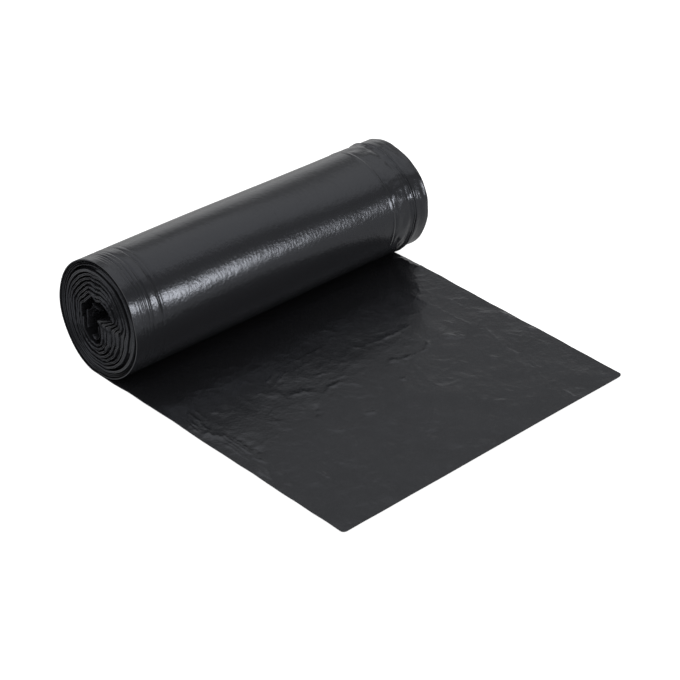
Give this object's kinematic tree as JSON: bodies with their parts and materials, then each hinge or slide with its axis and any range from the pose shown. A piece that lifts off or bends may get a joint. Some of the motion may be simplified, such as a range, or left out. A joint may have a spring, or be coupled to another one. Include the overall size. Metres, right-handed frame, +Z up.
{
  "type": "bin bag roll",
  "caption": "Coreless roll of folded black film sacks on its side, with a crumpled hollow through it and its leading end unrolled flat.",
  "frame": {"origin": "centre of the bounding box's bottom face, on the surface that the roll and its loose end lie on", "axes": "+X along the roll towards the end where the inner turns stand out, the loose end points to -Y, +Z up"},
  "size_m": [0.2258, 0.2242, 0.0706],
  "materials": {
    "black_film": "semi-gloss black polythene film with fine creases"
  },
  "bodies": {
    "root": {"bag_roll": "black_film"}
  },
  "joints": []
}
